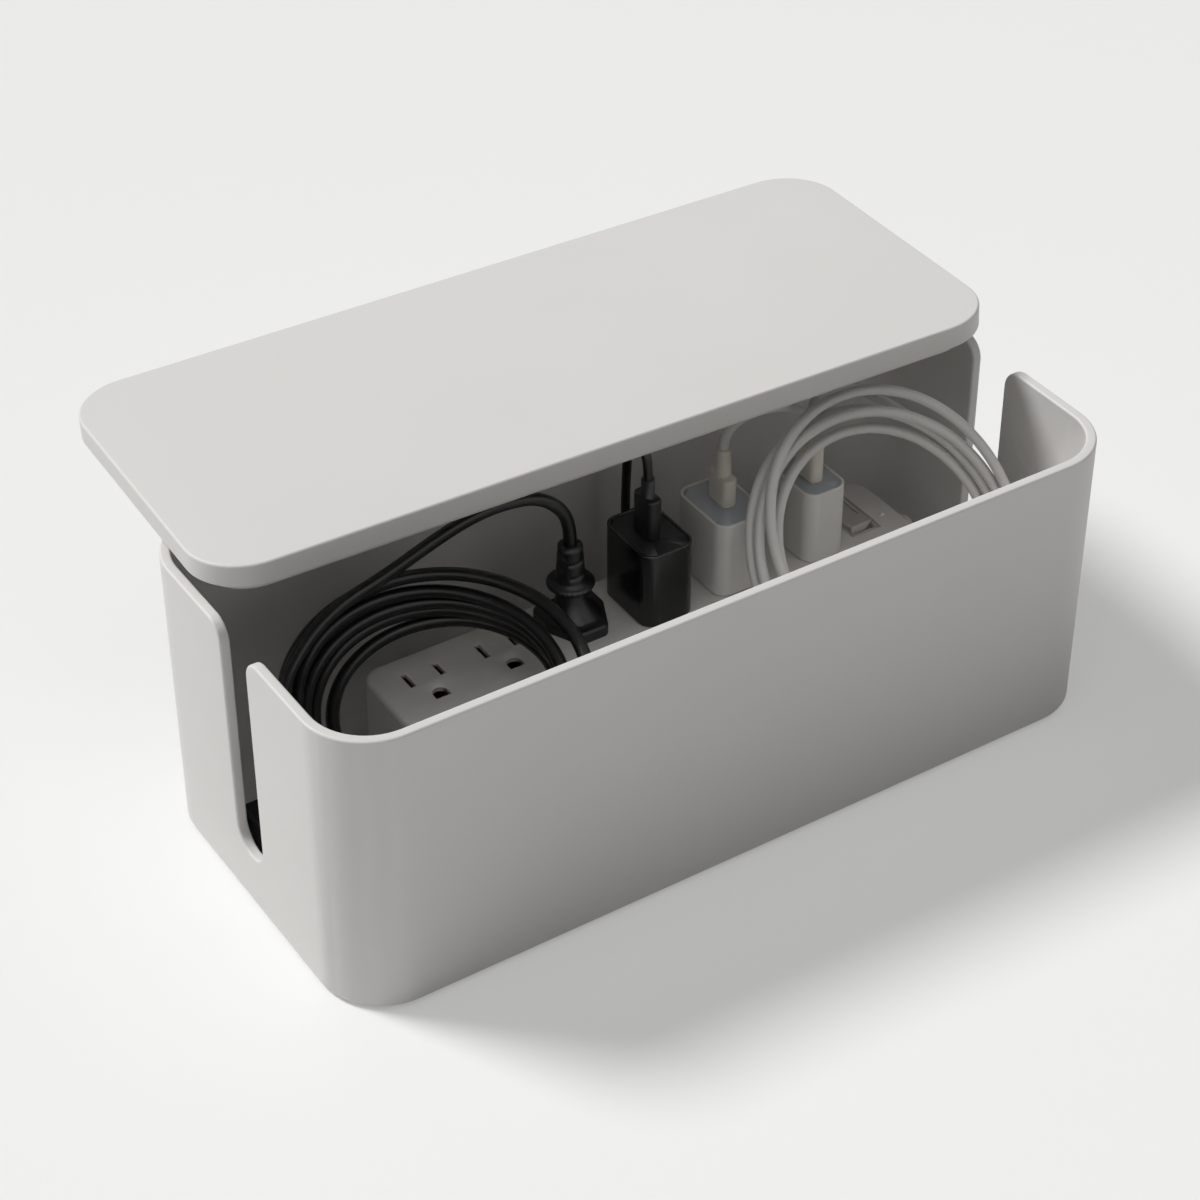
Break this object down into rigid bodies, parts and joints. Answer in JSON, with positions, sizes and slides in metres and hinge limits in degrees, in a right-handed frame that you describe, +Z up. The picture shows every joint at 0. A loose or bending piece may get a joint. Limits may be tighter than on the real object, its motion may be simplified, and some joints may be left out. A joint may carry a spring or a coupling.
{
  "type": "cable management box",
  "caption": "Open cable management box with rounded corners, an end slot in each short side and a lift-off lid, holding a power strip, chargers and coiled leads.",
  "frame": {"origin": "centre of the box shell's underside; the feet reach 1 mm below it", "axes": "+X along the box towards the strip's cord grip, +Y from the open front to the back where the lid lies, +Z up"},
  "size_m": [0.3222, 0.22, 0.1407],
  "materials": {
    "box_plastic": "matte",
    "foot_rubber": "matte",
    "strip_plastic": "matte",
    "grip_plastic": "matte",
    "bus_brass": "bright",
    "switch_plastic": "satin",
    "lens_plastic": "clear",
    "steel": "bright",
    "plug_brass": "bright",
    "mains_plug_plastic": "fine texture",
    "mains_cord": "matte",
    "black_plastic": "gloss",
    "black_cord": "matte",
    "black_plug_plastic": "satin",
    "grey_plate": "satin",
    "white_plastic": "satin",
    "white_cord": "satin",
    "white_plug_plastic": "satin"
  },
  "bodies": {
    "box": {"black_cable_run": "black_cord", "black_charger_case": "black_plastic", "black_charger_pins": "plug_brass", "black_charger_top": "black_plastic", "black_far_plug": "black_plug_plastic", "black_far_plug_tip": "steel", "black_plug": "black_plug_plastic", "black_plug_tip": "steel", "box_shell": "box_plastic", "earth_bus": "bus_brass", "foot_back_left": "foot_rubber", "foot_back_right": "foot_rubber", "foot_front_left": "foot_rubber", "foot_front_right": "foot_rubber", "indicator_lens": "lens_plastic", "line_bus": "bus_brass", "mains_lead_coil": "mains_cord", "mains_lead_connector": "mains_plug_plastic", "mains_lead_run": "mains_cord", "mains_lead_tail": "mains_cord", "mains_plug_body": "mains_plug_plastic", "mains_plug_pins": "plug_brass", "neutral_bus": "bus_brass", "strip_base": "strip_plastic", "strip_cord_grip": "grip_plastic", "strip_screws": "steel", "strip_top_cover": "strip_plastic", "switch_body": "switch_plastic", "white_1_cable_arch": "white_cord", "white_1_cable_coil": "white_cord", "white_1_cable_tail": "white_cord", "white_1_charger_case": "white_plastic", "white_1_charger_pins": "plug_brass", "white_1_charger_top": "grey_plate", "white_1_far_plug": "white_plug_plastic", "white_1_far_plug_tip": "steel", "white_1_plug": "white_plug_plastic", "white_1_plug_tip": "steel", "white_2_cable_run": "white_cord", "white_2_charger_case": "white_plastic", "white_2_charger_pins": "plug_brass", "white_2_charger_top": "grey_plate", "white_2_far_plug": "white_plug_plastic", "white_2_far_plug_tip": "steel", "white_2_plug": "white_plug_plastic", "white_2_plug_tip": "steel"},
    "lid": {"lid": "box_plastic"},
    "rocker": {"switch_rocker": "switch_plastic"}
  },
  "joints": [
    {"name": "lid_lift", "type": "slide", "parent": "box", "child": "lid", "axis": [0, 0, 1], "range_m": [0, 0.12]},
    {"name": "rocker_tip", "type": "hinge", "parent": "box", "child": "rocker", "pos_m": [0.1112, 0.0225, 0.0425], "axis": [1, 0, 0], "range_deg": [0, 16]}
  ]
}
